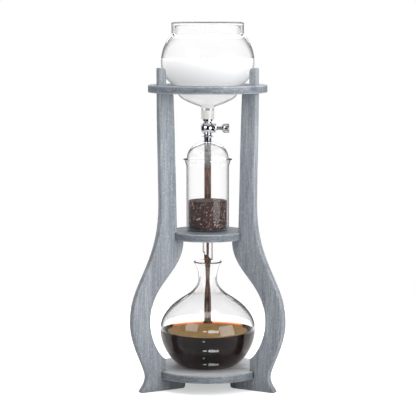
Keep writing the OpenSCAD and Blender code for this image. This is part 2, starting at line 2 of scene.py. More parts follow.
# # Looks for a cold drip coffee tower
#
# The real thing is a wooden stand with three curved plank legs and three round shelves. It
# holds a glass water globe with a chromed drip valve, a glass brew chamber full of ground
# coffee, and a round glass carafe. The CAD model already has every part at its true size, so
# this lesson gives each part its finish and turns the glass again with finer curves.
#
# The CAD model is loaded first, and its box is kept.

# %% Load the CAD model
import json
import math
import bpy
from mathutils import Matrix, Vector

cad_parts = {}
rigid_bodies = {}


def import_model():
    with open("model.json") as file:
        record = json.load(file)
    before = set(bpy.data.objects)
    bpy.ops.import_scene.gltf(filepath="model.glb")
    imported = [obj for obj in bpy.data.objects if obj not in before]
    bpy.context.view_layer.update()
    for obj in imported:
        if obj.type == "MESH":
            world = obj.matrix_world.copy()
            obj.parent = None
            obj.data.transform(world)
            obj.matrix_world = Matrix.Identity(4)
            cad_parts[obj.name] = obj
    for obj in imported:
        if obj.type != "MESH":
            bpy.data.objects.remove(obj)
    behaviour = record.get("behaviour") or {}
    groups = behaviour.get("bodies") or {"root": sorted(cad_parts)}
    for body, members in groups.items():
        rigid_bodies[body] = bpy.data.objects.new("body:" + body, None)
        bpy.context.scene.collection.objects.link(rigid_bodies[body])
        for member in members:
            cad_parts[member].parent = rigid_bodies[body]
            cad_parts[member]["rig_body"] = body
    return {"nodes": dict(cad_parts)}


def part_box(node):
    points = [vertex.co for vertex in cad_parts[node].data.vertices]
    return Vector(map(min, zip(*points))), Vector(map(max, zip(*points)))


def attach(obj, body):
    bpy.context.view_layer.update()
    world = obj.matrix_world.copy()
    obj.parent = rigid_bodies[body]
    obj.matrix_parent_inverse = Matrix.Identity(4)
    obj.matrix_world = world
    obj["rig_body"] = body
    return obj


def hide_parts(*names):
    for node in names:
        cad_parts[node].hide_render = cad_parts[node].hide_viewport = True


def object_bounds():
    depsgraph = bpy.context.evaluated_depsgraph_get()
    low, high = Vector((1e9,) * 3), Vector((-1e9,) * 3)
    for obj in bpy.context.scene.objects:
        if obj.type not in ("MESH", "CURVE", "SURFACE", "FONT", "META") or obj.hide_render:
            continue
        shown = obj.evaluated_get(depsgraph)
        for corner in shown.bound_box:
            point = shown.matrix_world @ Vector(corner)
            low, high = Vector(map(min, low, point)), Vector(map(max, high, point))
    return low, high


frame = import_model()
cad_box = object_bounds()
nodes = frame["nodes"]
scene = bpy.context.scene
cad_size = [round(v * 1000, 1) for v in cad_box[1] - cad_box[0]]
print("CAD nodes:", len(nodes), "box in mm:", cad_size)

# %% [markdown]
# All the glass is turned round one upright axis. It stands a little in front of the origin,
# because the origin is the middle of the whole tower's box. Heights are read from the boxes of
# the CAD parts, so the new pieces stay where the old ones are.

# %% Find the tower's axis and the heights
MM = 0.001


def foot(node):
    """The height of a CAD part's lowest point."""
    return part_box(node)[0].z


def head(node):
    """The height of a CAD part's highest point."""
    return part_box(node)[1].z


low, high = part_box("middle_shelf")
AXIS = Vector((0, (low.y + high.y) / 2, 0))
neck_end = foot("water_globe")
brew_floor = head("middle_shelf")
carafe_floor = head("base_shelf")
print("axis y in mm:", round(AXIS.y * 1000, 2), "neck end:", round(neck_end * 1000, 1),
      "brew floor:", round(brew_floor * 1000, 1), "carafe floor:", round(carafe_floor * 1000, 1))

# %% [markdown]
# The photograph was taken from about two metres away with a long lens, looking down by six
# degrees. That was worked out from the ellipses of the glass mouths. A camera at the same
# place shows the same ellipses.

# %% Set up the camera
CAMERA_BACK, CAMERA_HIGH = 1.996, 0.445
LOOK_DOWN, LOOK_RIGHT, LENS = 6.27, 0.0104, 138.2
bpy.ops.object.camera_add(
    location=AXIS + Vector((0, -CAMERA_BACK, CAMERA_HIGH)),
    rotation=(math.radians(90 - LOOK_DOWN), 0, math.radians(-LOOK_RIGHT)))
camera = bpy.context.object
camera.data.lens = LENS
camera.data.sensor_width = 36
camera.data.clip_end = 50
scene.camera = camera
print("camera at", [round(v, 3) for v in camera.location], "lens", camera.data.lens)

# %% [markdown]
# A material is a small tree of nodes. One function adds a node of any kind, with its settings,
# its plain values and its links, so the trees below read like recipes. Sums, ranges, colour
# ramps and soft random patterns come up again and again, so each has a function of its own.
# Colours are written as the hex values that a painter's program shows, and another function
# turns them into the linear values that the renderer adds up.

# %% Helpers for colours and nodes


def linear(code):
    """The linear colour for an sRGB hex code."""
    parts = [int(code[i:i + 2], 16) / 255 for i in (1, 3, 5)]
    return tuple(c / 12.92 if c <= 0.04045 else ((c + 0.055) / 1.055) ** 2.4
                 for c in parts) + (1.0,)


def add(tree, kind, inputs=None, **settings):
    """Adds a node. A value that is a socket becomes a link, any other value is set."""
    node = tree.nodes.new(kind)
    for name, value in settings.items():
        setattr(node, name, value)
    for name, value in (inputs or {}).items():
        if isinstance(value, bpy.types.NodeSocket):
            tree.links.new(value, node.inputs[name])
        else:
            node.inputs[name].default_value = value
    return node


def new_material(name):
    """An empty material with its output node and its Object coordinates."""
    material = bpy.data.materials.new(name)
    material.use_nodes = True
    tree = material.node_tree
    tree.nodes.clear()
    output = add(tree, "ShaderNodeOutputMaterial")
    place = add(tree, "ShaderNodeTexCoord").outputs["Object"]
    return material, tree, output, place


def ramp(tree, factor, stops):
    """A colour ramp from (place, hex colour) stops."""
    node = add(tree, "ShaderNodeValToRGB", {"Fac": factor})
    points = node.color_ramp.elements
    while len(points) < len(stops):
        points.new(0.5)
    for point, (place, code) in zip(points, stops):
        point.position = place
        point.color = linear(code)
    return node.outputs["Color"]


def calc(tree, operation, *values):
    """The result of one sum on numbers or sockets."""
    return add(tree, "ShaderNodeMath", dict(enumerate(values)), operation=operation).outputs[0]


def remap(tree, value, start, end, to_start=0.0, to_end=1.0, smooth=False):
    """A value that goes from to_start to to_end while the given one goes from start to end."""
    kind = "SMOOTHSTEP" if smooth else "LINEAR"
    return add(tree, "ShaderNodeMapRange",
               {"Value": value, "From Min": start, "From Max": end, "To Min": to_start,
                "To Max": to_end}, interpolation_type=kind).outputs[0]


def noise(tree, place, scale, detail=2.0):
    """A soft random pattern. Its patches are about 1 / scale wide, in metres."""
    return add(tree, "ShaderNodeTexNoise", {"Vector": place, "Scale": scale,
                                            "Detail": detail}).outputs["Fac"]


print("mid grey #808080 is linear", round(linear("#808080")[0], 3))

# %% [markdown]
# The floor is a pale sheet of matt paper. A faint glow, which only the camera and rays bent by
# the glass see, lifts it to white. The shadow of the tower still falls on it.

# %% Floor
FLOOR_SIZE, FLOOR_GLOW = 1.1, 0.45
bpy.ops.object.select_all(action="DESELECT")
bpy.ops.mesh.primitive_plane_add(size=FLOOR_SIZE, location=(0, 0, 0))
floor = bpy.context.object
floor.name = "studio_floor"
paper, tree, output, place = new_material("white_paper")
# The sheet's faint clouds are about 17 mm wide.
clouds = noise(tree, place, 60.0)
sheet = add(tree, "ShaderNodeBsdfDiffuse",
            {"Color": ramp(tree, clouds, [(0.0, "#ececec"), (1.0, "#f0f0f0")])})
path = add(tree, "ShaderNodeLightPath").outputs
shown = calc(tree, "MAXIMUM", path["Is Camera Ray"], path["Is Transmission Ray"])
glow = add(tree, "ShaderNodeEmission", {"Strength": calc(tree, "MULTIPLY", shown, FLOOR_GLOW)})
both = add(tree, "ShaderNodeAddShader", {0: sheet.outputs[0], 1: glow.outputs[0]})
tree.links.new(both.outputs[0], output.inputs["Surface"])
floor.data.materials.append(paper)
print("floor side in m:", FLOOR_SIZE)

# %% [markdown]
# The world is a white studio. Clear glass is only visible where it mirrors or bends something
# dark, and chrome only looks like chrome when it mirrors light and dark. A photographer sets
# dark panels round the glass for that. Here the panels are painted on the world, and only
# mirrored and bent rays see them. Rays bent upwards by the glass meet a dark ceiling, so what
# stands straight behind the glass stays white from any side. Mirrored rays meet a panel at
# each side of the compass and a round one behind the camera. Light that was mirrored inside
# the glass before it came out meets a grey room. Light that a matt surface gathers, or that
# has crossed a liquid, sees no panels.

# %% World
ROOM_LIGHT, PANELS, CEILING_GREY, INNER_GREY = 0.68, 4, 0.88, 0.5
CEILING_FROM, CEILING_TO = 0.02, 0.2        # upward part of a ray's direction
TALL_FROM, TALL_TO = 0.6, 0.4               # the side panels end at this height
SIDE_FROM, SIDE_TO = -0.9, -0.45            # where they end on the wave round the compass
FRONT_FROM, FRONT_TO = -0.5, -0.66          # forward part of a ray's direction
NO_BOUNCE, TWO_WALLS = 0.5, 4.5             # two walls of glass are four surfaces
world = bpy.data.worlds.new("white_studio")
scene.world = world
world.use_nodes = True
tree = world.node_tree
tree.nodes.clear()
# The kind of ray: bent by glass, mirrored, or mirrored inside glass before it came out.
path = add(tree, "ShaderNodeLightPath").outputs
shown = calc(tree, "MAXIMUM", path["Is Glossy Ray"], path["Is Transmission Ray"])
direct = calc(tree, "LESS_THAN", path["Diffuse Depth"], NO_BOUNCE)
few = calc(tree, "LESS_THAN", path["Transmission Depth"], TWO_WALLS)
direct = calc(tree, "MULTIPLY", direct, few)
either = calc(tree, "MULTIPLY", shown, direct)
bent = calc(tree, "MULTIPLY", path["Is Transmission Ray"], direct)
mirrored = calc(tree, "SUBTRACT", either, bent)
inner = remap(tree, path["Glossy Depth"], 0.0, 1.0, 0.0, INNER_GREY)
inner = calc(tree, "MULTIPLY", bent, inner)
# The way the ray goes: round the compass, upwards, and forwards to the camera's side.
way = add(tree, "ShaderNodeSeparateXYZ",
          {0: add(tree, "ShaderNodeTexCoord").outputs["Generated"]}).outputs
turn = calc(tree, "ARCTAN2", way["X"], way["Y"])
wave = calc(tree, "COSINE", calc(tree, "MULTIPLY", turn, float(PANELS)))
sides = remap(tree, wave, SIDE_FROM, SIDE_TO, smooth=True)
ceiling = remap(tree, way["Z"], CEILING_FROM, CEILING_TO, 0.0, CEILING_GREY)
tall = remap(tree, way["Z"], TALL_FROM, TALL_TO, smooth=True)
sides = calc(tree, "MULTIPLY", sides, tall)
sides = calc(tree, "MULTIPLY", sides, mirrored)
panel = calc(tree, "MULTIPLY_ADD", ceiling, bent, sides)
front = remap(tree, way["Y"], FRONT_FROM, FRONT_TO, smooth=True)
front = calc(tree, "MULTIPLY", front, mirrored)
# The darkest of the three counts. All other rays see white, or the light of the room.
dark = calc(tree, "MAXIMUM", panel, front)
dark = calc(tree, "MAXIMUM", dark, inner)
shown = calc(tree, "MAXIMUM", shown, path["Is Camera Ray"])
level = remap(tree, shown, 0.0, 1.0, ROOM_LIGHT)
sky = add(tree, "ShaderNodeBackground",
          {"Color": ramp(tree, dark, [(0.0, "#ffffff"), (1.0, "#101214")]), "Strength": level})
tree.links.new(sky.outputs[0], add(tree, "ShaderNodeOutputWorld").inputs["Surface"])
scene.view_settings.view_transform = "Standard"
print("dark panels round the compass:", PANELS)

# %% [markdown]
# A large soft lamp at the right front shapes the wood, so the left leg's face is the brighter
# one. One overhead and one behind light the tops of the shelves. Two lit cards light nothing:
# they are only there to be mirrored. The window at the left makes a bright patch on the flask.
# The tall card at the right makes another, and the pale upright band on the brew chamber.

# %% Lamps
MIDDLE = 0.23


def soft_lamp(name, spot, size, power):
    """A square soft lamp that faces the middle of the tower."""
    bpy.ops.object.light_add(type="AREA", location=spot)
    lamp = bpy.context.object
    lamp.name = name
    lamp.data.shape = "SQUARE"
    lamp.data.size = size
    lamp.data.energy = power
    aim = AXIS + Vector((0, 0, MIDDLE)) - lamp.location
    lamp.rotation_euler = aim.to_track_quat("-Z", "Y").to_euler()
    print(name, "power in watts:", power)
    return lamp


key = soft_lamp("key_lamp", (1.3, -0.95, 0.95), 1.7, 21.5)
key.visible_glossy = False
key.visible_transmission = False
soft_lamp("top_lamp", (0.1, -0.3, 1.9), 0.9, 9.5)
soft_lamp("back_lamp", (0, 1.6, 1.25), 1.4, 12)
for name, spot, size, power in (("window_card", (-1.15, -1.3, 0.99), 1.0, 21),
                                ("tall_card", (1.04, -0.94, 0.42), 0.95, 22)):
    card = soft_lamp(name, spot, size, power)
    card.visible_diffuse = False
    card.visible_transmission = False

# %% [markdown]
# Every finished piece goes through the same last steps. Its faces are shaded smooth except at
# real edges, its materials are put on, it rides on the CAD body that carries it, and it
# replaces the CAD part that it stands for.

# %% Finish a piece


def finish_piece(piece, name, body, materials, stands_for=(), angle=32):
    """Names a piece, shades it, gives it its materials, sets it on its body and hides the CAD
    parts it stands for.
    """
    bpy.ops.object.select_all(action="DESELECT")
    piece.select_set(True)
    bpy.context.view_layer.objects.active = piece
    piece.name = name
    piece.data.name = name
    bpy.ops.object.transform_apply(location=True, rotation=True, scale=True)
    bpy.ops.object.shade_smooth_by_angle(angle=math.radians(angle))
    if materials:
        piece.data.materials.clear()
        for material in materials:
            piece.data.materials.append(material)
    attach(piece, body)
    if stands_for:
        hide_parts(*stands_for)
    print(name, "faces:", len(piece.data.polygons))
    return piece


# %% [markdown]
# Glass vessels and lathe work are all round, so they are made in the same way as on a lathe:
# half of the outline is drawn beside the axis, point by point, and spun round once. The
# outline is given as radius and height in millimetres over the piece's own foot. Points that
# meet are merged, and the normals are recalculated, because a spin can turn a shape inside out.

# %% The lathe
SPIN_STEPS, RIM_STEPS, WELD = 128, 8, 2e-6


def turned(outline, base, steps=SPIN_STEPS):
    """Spins an outline of (radius, height) in mm round the axis, with height 0 at base."""
    points = [AXIS + Vector((r * MM, 0, base + z * MM)) for r, z in outline]
    bpy.ops.object.select_all(action="DESELECT")
    bpy.ops.mesh.primitive_plane_add(size=0.001, location=(0, 0, 0))
    piece = bpy.context.object
    bpy.ops.object.mode_set(mode="EDIT")
    bpy.ops.mesh.select_all(action="SELECT")
    bpy.ops.mesh.merge(type="CENTER")
    bpy.ops.transform.translate(value=points[0])
    for before, after in zip(points, points[1:]):
        bpy.ops.mesh.extrude_region_move(TRANSFORM_OT_translate={"value": after - before})
    bpy.ops.mesh.select_all(action="SELECT")
    bpy.ops.mesh.spin(steps=steps, angle=2 * math.pi, center=AXIS, axis=(0, 0, 1))
    bpy.ops.mesh.select_all(action="SELECT")
    bpy.ops.mesh.remove_doubles(threshold=WELD)
    bpy.ops.mesh.select_all(action="SELECT")
    bpy.ops.mesh.normals_make_consistent(inside=False)
    bpy.ops.object.mode_set(mode="OBJECT")
    return piece


def bend(a, b, c, d, steps=14):
    """Points along a smooth curve from a to d that leaves towards b and arrives from c."""
    a, b, c, d = map(Vector, (a, b, c, d))
    found = []
    for i in range(1, steps + 1):
        t = i / steps
        s = 1 - t
        found.append(a * s ** 3 + b * 3 * s * s * t + c * 3 * s * t * t + d * t ** 3)
    return found


def arc(centre, radius, start, end, steps=14):
    """Points along an arc, with angles in degrees."""
    found = []
    for i in range(steps + 1):
        angle = math.radians(start + (end - start) * i / steps)
        found.append(Vector(centre) + radius * Vector((math.cos(angle), math.sin(angle))))
    return found


def wall(outline, thickness):
    """Closes an outer outline into a glass wall with a rounded rim, and back down inside."""
    outer = [Vector(p) for p in outline]
    inner = []
    for i, point in enumerate(outer):
        run = (outer[min(i + 1, len(outer) - 1)] - outer[max(i - 1, 0)]).normalized()
        inner.append(point + thickness * Vector((-run.y, run.x)))
    run = (outer[-1] - outer[-2]).normalized()
    left = Vector((-run.y, run.x))
    middle = outer[-1] + left * thickness / 2
    half = thickness / 2
    rim = []
    for i in range(RIM_STEPS + 1):
        angle = math.radians(180 * i / RIM_STEPS)
        rim.append(middle - left * half * math.cos(angle) + run * half * math.sin(angle))
    return outer[:-1] + rim + inner[-2::-1], inner


# %% [markdown]
# The glass is borosilicate, blown and left clear and smooth. It has a normal index of
# refraction of 1.47, and a faint waviness keeps the highlights from looking computed. Light on
# its way to a matt surface is let straight through, because the renderer can't aim a lamp
# through glass. Where a wall is seen edge-on, its colour falls off towards the rim to a grey.
# That is painted shade, standing in for the dark outline that glass shows there. In the
# photograph the globe and its cap are much paler than the rest, so their index is lower, and
# their painted rim shade is lighter. The chamber and the flask hold dark things that show every
# reflection, so their head-on mirror is matched to the photograph too. Where a liquid wets the
# inside, the two bend light almost alike and the join hardly shines, so it is turned off there.

# %% Borosilicate glass


def blown_glass(name, mirror, painted_rim_shade="#5c6064", index=1.47):
    """Clear glass. The mirror colour tints its head-on reflection, and the painted rim shade
    is the grey painted on it edge-on, painted shade for its dark outline."""
    material, tree, output, place = new_material(name)
    # The waves are about 30 mm long, as in blown glass.
    waves = noise(tree, place, 35.0, 1.0)
    ripple = add(tree, "ShaderNodeBump", {"Height": waves, "Strength": 0.05, "Distance": 0.001})
    edge = add(tree, "ShaderNodeLayerWeight", {"Blend": 0.5})
    # Painted shade: the colour turns grey towards the rim, where the wall is seen edge-on.
    depth = ramp(tree, edge.outputs["Facing"], [(0.62, "#ffffff"), (0.86, painted_rim_shade)])
    clear = add(tree, "ShaderNodeBsdfPrincipled",
                {"Base Color": depth, "Roughness": 0.0, "IOR": index,
                 "Transmission Weight": 1.0, "Specular Tint": linear(mirror),
                 "Normal": ripple.outputs[0]})
    path = add(tree, "ShaderNodeLightPath").outputs
    lit = calc(tree, "MAXIMUM", path["Is Shadow Ray"], path["Is Diffuse Ray"])
    through = add(tree, "ShaderNodeBsdfTransparent", {"Color": linear("#f8f8f8")})
    both = add(tree, "ShaderNodeMixShader", {0: lit, 1: clear.outputs[0],
                                             2: through.outputs[0]})
    tree.links.new(both.outputs[0], output.inputs["Surface"])
    return material


glass = blown_glass("borosilicate_glass", "#ffffff")
chamber_glass = blown_glass("chamber_glass", "#9c9c9c")
flask_glass = blown_glass("flask_glass", "#dddddd")
globe_glass = blown_glass("thin_globe_glass", "#ffffff", "#b8babd", 1.25)
cap_glass = blown_glass("thin_cap_glass", "#ffffff", "#d8dadc", 1.12)
wet_glass = blown_glass("wetted_glass", "#000000")
HEART_DEPTH = 10 * MM


def wet_inside(vessel, level):
    """Gives the wall faces that look at a liquid's heart the wetted glass."""
    heart = AXIS + Vector((0, 0, level - HEART_DEPTH))
    wetted = 0
    for polygon in vessel.data.polygons:
        if polygon.center.z < level and polygon.normal.dot(heart - polygon.center) > 0:
            polygon.material_index = 1
            wetted += 1
    print(vessel.name, "wetted faces:", wetted)


print("glass finishes:", [g.name for g in (glass, chamber_glass, flask_glass, globe_glass,
                                           cap_glass, wet_glass)])


# %% [markdown]
# The globe is blown, with a wide belly, an upright collar round its mouth, and a funnel and
# neck below. Its wall is 2.2 mm thick. The outline follows the photograph: an arc up to the
# shoulder, a tighter arc down to the shelf that it sits on, and then the shallow funnel.

# %% Turn the water globe
GLOBE_R, GLOBE_BELLY = 58.2, 70.5
SEAT_ANGLE, SEAT_ARC, TOP_ANGLE, TOP_ARC = 55, 33.8, 37, 53.2
seat = Vector((GLOBE_R - SEAT_ARC * (1 - math.cos(math.radians(SEAT_ANGLE))),
               GLOBE_BELLY - SEAT_ARC * math.sin(math.radians(SEAT_ANGLE))))
shoulder = Vector((GLOBE_R - TOP_ARC * (1 - math.cos(math.radians(TOP_ANGLE))),
                   GLOBE_BELLY + TOP_ARC * math.sin(math.radians(TOP_ANGLE))))
GLOBE_WALL, GLOBE_NECK_R, COLLAR_R, GLOBE_TOP = 2.2, 8.1, 41, 115.2
funnel, throat = Vector((33, 26.1)), Vector((11.1, 16.4))
globe_outline = (
    [Vector((GLOBE_NECK_R, 0))]
    + bend((GLOBE_NECK_R, 12.8), (GLOBE_NECK_R, 15), throat - Vector((1.9, 0.7)), throat, 8)
    + bend(throat, throat + Vector((6.6, 2.2)), funnel - Vector((7.6, 4.8)), funnel, 12)
    + bend(funnel, funnel + Vector((5.1, 3.2)), seat - Vector((4.9, 3.4)), seat, 14)
    + arc((GLOBE_R - SEAT_ARC, GLOBE_BELLY), SEAT_ARC, -SEAT_ANGLE, 0, 20)[1:]
    + arc((GLOBE_R - TOP_ARC, GLOBE_BELLY), TOP_ARC, 0, TOP_ANGLE, 20)[1:]
    + bend(shoulder, shoulder + Vector((-2, 2.7)), (COLLAR_R + 0.2, shoulder.y + 2.4),
           (COLLAR_R, shoulder.y + 6.5), 12)
    + [Vector((COLLAR_R, GLOBE_TOP))])
globe_wall, globe_inside = wall(globe_outline, GLOBE_WALL)
globe_wall.append(globe_wall[0])
globe = turned(globe_wall, neck_end)
finish_piece(globe, "water_globe_glass", "globe", [globe_glass], ["water_globe"])

# %% [markdown]
# The water fills the globe to just over its widest place. It is drawn a fifth of a millimetre
# into the glass, because a gap of air between the two would shine like a mirror. It climbs a
# little up the wall, as water does. In the photograph it is milky white and nothing shows
# through it, so light scatters deep inside it, which is what subsurface scattering does. The
# renderer cuts that scattering short, and a faint glow stands in for the light that is lost.

# %% Fill the globe with water
water_clear, tree, output, place = new_material("still_water")
# Currents in the water are about 80 mm wide.
haze = noise(tree, place, 12.0)
liquid = add(tree, "ShaderNodeBsdfPrincipled",
             {"Base Color": ramp(tree, haze, [(0.3, "#f9f8f5"), (0.7, "#fffefc")]),
              "Roughness": 0.02, "IOR": 1.333, "Subsurface Weight": 1.0,
              "Subsurface Radius": (1.0, 1.0, 1.0), "Subsurface Scale": 0.08,
              "Emission Color": linear("#f6f4f0"), "Emission Strength": 0.09})
tree.links.new(liquid.outputs[0], output.inputs["Surface"])

WATER_LEVEL, WATER_FOOT, LAP = 74.8, 11.0, 0.2


def pool(inside, level, floor_z, climb=1.0):
    """The outline of a liquid in a vessel, from its floor up to its surface."""
    side = []
    for before, point in zip(inside, inside[1:]):
        if floor_z < point.y < level + climb:
            run = (point - before).normalized()
            side.append(point - LAP * Vector((-run.y, run.x)))
    # The rings of the surface, from the wall inwards.
    edge = side[-1].x
    surface = [Vector((edge - LAP - 0.05, level + climb * 0.75)),
               Vector((edge - 0.9, level + 0.3)), Vector((edge - 2.6, level)),
               Vector((edge - 7, level)), Vector((edge - 13, level)),
               Vector((edge * 0.5, level)), Vector((0, level))]
    return [Vector((0, side[0].y))] + side + surface


water = turned(pool(globe_inside, WATER_LEVEL, WATER_FOOT), neck_end)
finish_piece(water, "drip_water", "globe", [water_clear], ["water"])

# %% [markdown]
# A flat glass cap with a short skirt covers the mouth. Its top edge is rounded over, and its
# top is a little thinner than the CAD model's, so that it looks as light as the real one.

# %% Turn the cap over the globe's mouth
CAP_H, CAP_R, CAP_BORE, CAP_TOP = 14.3, 45.0, 43.0, 2.4
OUTER_ROUND, INNER_ROUND = 2.0, 1.0
under = CAP_H - CAP_TOP
cap_outline = (
    [Vector((CAP_BORE, 0.4)), Vector((CAP_BORE + 0.3, 0)), Vector((CAP_R - 0.3, 0)),
     Vector((CAP_R, 0.4))]
    + arc((CAP_R - OUTER_ROUND, CAP_H - OUTER_ROUND), OUTER_ROUND, 0, 90, 8)
    + [Vector((0, CAP_H)), Vector((0, under))]
    + arc((CAP_BORE - INNER_ROUND, under - INNER_ROUND), INNER_ROUND, 90, 0, 5)
    + [Vector((CAP_BORE, 0.4))])
cap = turned(cap_outline, head("globe_lid") - CAP_H * MM)
finish_piece(cap, "globe_cap_glass", "globe_lid", [cap_glass], ["globe_lid"])

# %% [markdown]
# The brew chamber is a straight tube with a rounded foot, a flared mouth and a stem that goes
# down through the shelf. The stem's tip is ground off at a slant, so the coffee drips from its
# lowest point. The slant is cut with a bisect, and the cut is closed again by bridging the
# outer and inner edges.

# %% Turn the brew chamber
BREW_R, BREW_WALL, BREW_H, FLARE_H, MOUTH_R = 26.6, 1.8, 90.7, 9.0, 28.7
STEM_R, STEM_END, CORNER, SLANT = 6.4, -37.8, 6.0, 40
flare = ((MOUTH_R - BREW_R) ** 2 + FLARE_H ** 2) / (2 * (MOUTH_R - BREW_R))
flare_x = MOUTH_R - flare
brew_outline = (
    [Vector((STEM_R, STEM_END - 4)), Vector((STEM_R, -20)), Vector((STEM_R, -1.5))]
    + bend((STEM_R, -1.5), (STEM_R, -0.6), (STEM_R + 0.6, 0), (STEM_R + 1.5, 0), 5)
    + [Vector((BREW_R - CORNER - 0.4, 0)), Vector((BREW_R - CORNER, 0))]
    + bend((BREW_R - CORNER, 0), (BREW_R - 0.45 * CORNER, 0), (BREW_R, 0.45 * CORNER),
           (BREW_R, CORNER), 12)
    + [Vector((BREW_R, z)) for z in (20, 40, 60, BREW_H - FLARE_H - 1)]
    + [Vector((flare_x + math.sqrt(flare ** 2 - h * h), BREW_H - h))
       for h in [FLARE_H * (1 - i / 14) for i in range(14)]] + [Vector((MOUTH_R, BREW_H - 0.9))])
brew_wall, brew_inside = wall(brew_outline, BREW_WALL)
brew_wall.append(brew_wall[0])
chamber = turned(brew_wall, brew_floor)
slant = math.radians(SLANT)
bpy.ops.object.mode_set(mode="EDIT")
bpy.ops.mesh.select_all(action="SELECT")
bpy.ops.mesh.bisect(
    plane_co=AXIS + Vector((STEM_R * MM, 0, brew_floor + STEM_END * MM)),
    plane_no=(math.sin(slant), 0, math.cos(slant)), clear_inner=True)
bpy.ops.mesh.bridge_edge_loops()
bpy.ops.mesh.select_all(action="SELECT")
bpy.ops.mesh.normals_make_consistent(inside=False)
bpy.ops.object.mode_set(mode="OBJECT")
finish_piece(chamber, "brew_chamber_glass", "brewer", [chamber_glass], ["brew_chamber"])

# %% [markdown]
# A small dome covers the chamber. Its hole lets the drip nozzle in.

# %% Turn the dome lid
DOME_R, DOME_H, DOME_SKIRT, DOME_WALL = 26.0, 25.8, 5.5, 1.6
NOZZLE_R, HOLE_ROOM, DOME_STEPS = 4.6, 0.8, 28
hole_r = NOZZLE_R + HOLE_ROOM + DOME_WALL / 2
dome_end = math.degrees(math.acos(hole_r / DOME_R))
dome_outline = [Vector((DOME_R, 0)), Vector((DOME_R, 2.5))]
for i in range(DOME_STEPS + 1):
    angle = math.radians(dome_end * i / DOME_STEPS)
    dome_outline.append(Vector((DOME_R * math.cos(angle), DOME_SKIRT + (DOME_H - DOME_SKIRT)
                                * math.sin(angle) / math.sin(math.radians(dome_end)))))
dome_wall, _ = wall(dome_outline, DOME_WALL)
dome_wall.append(dome_wall[0])
dome = turned(dome_wall, foot("dome_lid"))
finish_piece(dome, "dome_lid_glass", "dome_lid", [glass], ["dome_lid"])

# %% [markdown]
# The carafe is a round flask with a flat foot, a cone-shaped shoulder and a narrow neck that
# flares to a rolled rim.

# %% Turn the carafe
CARAFE_R, CARAFE_BELLY, CARAFE_WALL = 60.2, 46.5, 1.8
FOOT_R, NECK_R, NECK_H = 28.0, 11.5, 111.0
RIM_R, CARAFE_H = 17.4, 133.7
rim = Vector((RIM_R, CARAFE_H - 0.85 * CARAFE_WALL))
slope, shoulder = Vector((-0.848, 0.53)), Vector((28, NECK_H - 21.5))
carafe_outline = (
    [Vector((0, 0)), Vector((FOOT_R, 0))]
    + bend((FOOT_R, 0), (FOOT_R + 15, 0), (CARAFE_R, CARAFE_BELLY - 21.5),
           (CARAFE_R, CARAFE_BELLY), 26)
    + bend((CARAFE_R, CARAFE_BELLY), (CARAFE_R, CARAFE_BELLY + 22), shoulder - 14 * slope,
           shoulder, 26)
    + bend(shoulder, shoulder + 9 * slope, (NECK_R, NECK_H - 9), (NECK_R, NECK_H), 14)
    + bend((NECK_R, NECK_H), (NECK_R, NECK_H + 9), rim - Vector((3.9, 4)), rim, 14))
carafe_wall, carafe_inside = wall(carafe_outline, CARAFE_WALL)
carafe = turned(carafe_wall, carafe_floor)
finish_piece(carafe, "carafe_glass", "carafe", [flask_glass, wet_glass], ["carafe"])

# %% [markdown]
# Strong coffee looks black where it is deep and amber where it is thin. A clear liquid that
# swallows blue and green light quickly and red light slowly does just that, with no painted
# gradient. Its mirror is turned off where it wets the glass, because that join hardly shines
# in a real carafe. A film of pale oil and fine froth floats on it, so its surface looks tan.
# The film has drifted a little to the front, and the clear coffee that it leaves bare at the
# back glows amber. All of it is one material, because the light has to enter and leave a
# liquid through the same one, or the renderer never lets it out again.

# %% Pour in the coffee
COFFEE_LEVEL, FILM_R, FILM_DRIFT, COFFEE_FOOT = 46.7, 51, 9, 1.0
coffee, tree, output, place = new_material("brewed_coffee")
# Patches of oil are about 20 mm wide, and flecks of froth 6 mm.
oils = noise(tree, place, 45.0)
skin = remap(tree, oils, 0.0, 1.0, 0.0, 0.03)
brew = add(tree, "ShaderNodeBsdfPrincipled",
           {"Base Color": linear("#fff6ec"), "Roughness": skin, "IOR": 1.335,
            "Transmission Weight": 1.0, "Specular Tint": linear("#000000")})
thin = add(tree, "ShaderNodeBsdfPrincipled",
           {"Base Color": linear("#fff2e0"), "Roughness": 0.02, "IOR": 1.06,
            "Transmission Weight": 1.0})
froth = noise(tree, place, 160.0, 4.0)
film = add(tree, "ShaderNodeBsdfPrincipled",
           {"Base Color": ramp(tree, froth, [(0.3, "#8f7448"), (0.7, "#a98a58")]),
            "Roughness": 0.04, "IOR": 1.045, "Transmission Weight": 0.1})
up = add(tree, "ShaderNodeSeparateXYZ", {0: place})
top = remap(tree, up.outputs["Z"], carafe_floor + (COFFEE_LEVEL - 0.4) * MM,
            carafe_floor + (COFFEE_LEVEL - 0.2) * MM)
far = add(tree, "ShaderNodeVectorMath",
          {0: place,
           1: AXIS + Vector((0, -FILM_DRIFT * MM, carafe_floor + COFFEE_LEVEL * MM))},
          operation="DISTANCE")
froth_end = remap(tree, far.outputs["Value"], (FILM_R + 1) * MM, (FILM_R - 2) * MM)
surface = add(tree, "ShaderNodeMixShader", {0: froth_end, 1: thin.outputs[0],
                                            2: film.outputs[0]})
drink_skin = add(tree, "ShaderNodeMixShader", {0: top, 1: brew.outputs[0],
                                               2: surface.outputs[0]})
depth = add(tree, "ShaderNodeVolumeAbsorption", {"Color": linear("#edaa28"), "Density": 260.0})
tree.links.new(drink_skin.outputs[0], output.inputs["Surface"])
tree.links.new(depth.outputs[0], output.inputs["Volume"])

drink = turned(pool(carafe_inside, COFFEE_LEVEL, COFFEE_FOOT), carafe_floor)
wet_inside(carafe, carafe_floor + COFFEE_LEVEL * MM)
finish_piece(drink, "brewed_coffee_pool", "carafe", [coffee], ["brewed_coffee"])

